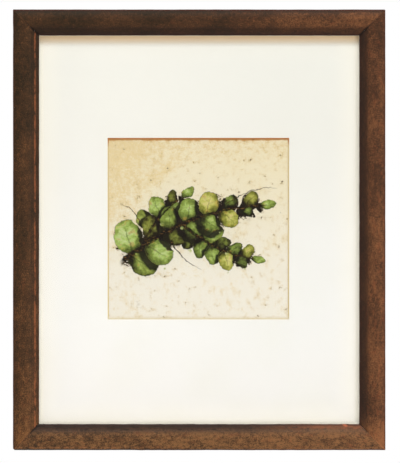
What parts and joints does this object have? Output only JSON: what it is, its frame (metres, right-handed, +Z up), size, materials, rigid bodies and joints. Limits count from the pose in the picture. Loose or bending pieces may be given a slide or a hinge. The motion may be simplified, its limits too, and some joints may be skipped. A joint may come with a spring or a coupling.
{
  "type": "framed print",
  "caption": "Upright wall frame in bronze-brown wood with mitred corners, picture glass, a cream mat with a square window and a small botanical print.",
  "frame": {"origin": "on the wall surface, at the nail under the middle notch of the sawtooth hanger", "axes": "+X to the viewer's right, +Y towards the wall, +Z up"},
  "size_m": [0.401, 0.028, 0.4745],
  "materials": {
    "bronze_wood": "satin",
    "picture_glass": "gloss",
    "mat_board": "matte",
    "print_paper": "matte",
    "hardboard": "matte",
    "zinc_steel": "satin",
    "bumper_rubber": "matte"
  },
  "bodies": {
    "root": {"rail_top": "bronze_wood", "rail_bottom": "bronze_wood", "rail_left": "bronze_wood", "rail_right": "bronze_wood", "glass": "picture_glass", "mat_board": "mat_board", "art_print": "print_paper", "backing_board": "hardboard", "point_top_left": "zinc_steel", "point_top_right": "zinc_steel", "point_bottom_left": "zinc_steel", "point_bottom_right": "zinc_steel", "point_left_upper": "zinc_steel", "point_left_lower": "zinc_steel", "point_right_upper": "zinc_steel", "point_right_lower": "zinc_steel", "corner_nail_top_left_outer": "zinc_steel", "corner_nail_top_left_inner": "zinc_steel", "corner_nail_top_right_outer": "zinc_steel", "corner_nail_top_right_inner": "zinc_steel", "corner_nail_bottom_left_outer": "zinc_steel", "corner_nail_bottom_left_inner": "zinc_steel", "corner_nail_bottom_right_outer": "zinc_steel", "corner_nail_bottom_right_inner": "zinc_steel", "sawtooth_hanger": "zinc_steel", "hanger_nail_left": "zinc_steel", "hanger_nail_right": "zinc_steel", "bumper_left": "bumper_rubber", "bumper_right": "bumper_rubber"}
  },
  "joints": []
}
